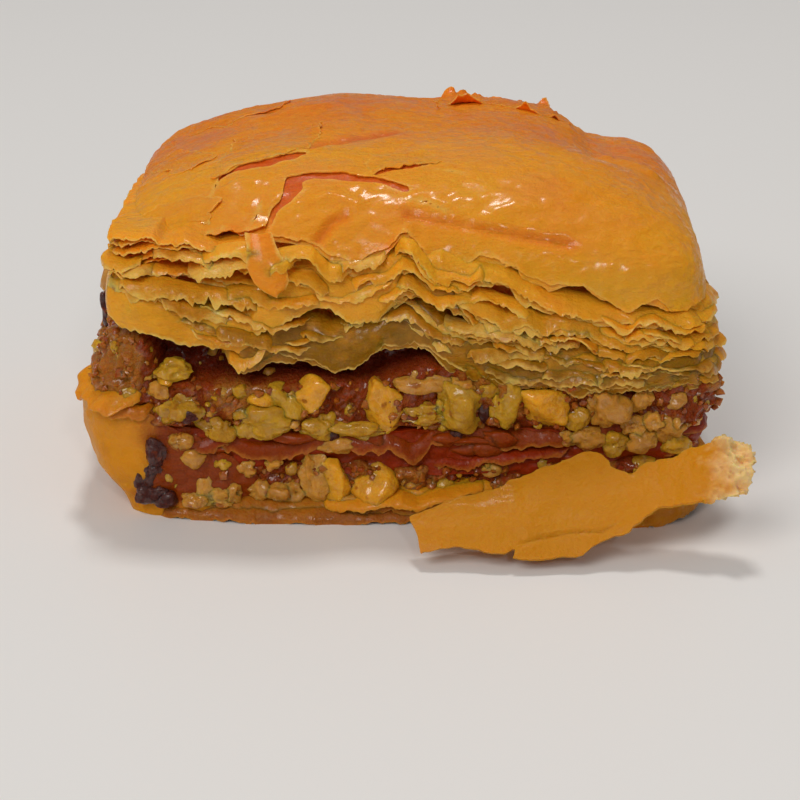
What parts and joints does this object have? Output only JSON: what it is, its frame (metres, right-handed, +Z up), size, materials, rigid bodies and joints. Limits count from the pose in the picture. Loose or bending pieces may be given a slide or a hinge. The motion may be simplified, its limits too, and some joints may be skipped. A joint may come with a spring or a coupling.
{
  "type": "baklava piece",
  "caption": "Rectangular cut piece of baklava with a puffed flaky lid, chopped nut filling and a peeled pastry sheet at the front.",
  "frame": {"origin": "middle of the flat underside, under the centre of the uncut outline", "axes": "+Z up from the base to the crust, -Y towards the cut face with the peeled sheet, +X to the right when facing that cut face"},
  "size_m": [0.05, 0.0453, 0.0275],
  "materials": {
    "bottom_pastry": "baked pastry soaked in syrup, satin",
    "nut_filling": "chopped nuts bound with syrup, glossy",
    "soaked_pastry": "thin pastry sheets soaked in syrup, glossy",
    "crust": "baked golden crust with a thin syrup glaze, satin",
    "flake": "single baked pastry sheet, satin"
  },
  "bodies": {
    "root": {"bottom_pastry": "bottom_pastry", "lower_nuts": "nut_filling", "middle_pastry": "soaked_pastry", "upper_nuts": "nut_filling", "top_pastry": "crust", "loose_flake": "flake"}
  },
  "joints": []
}
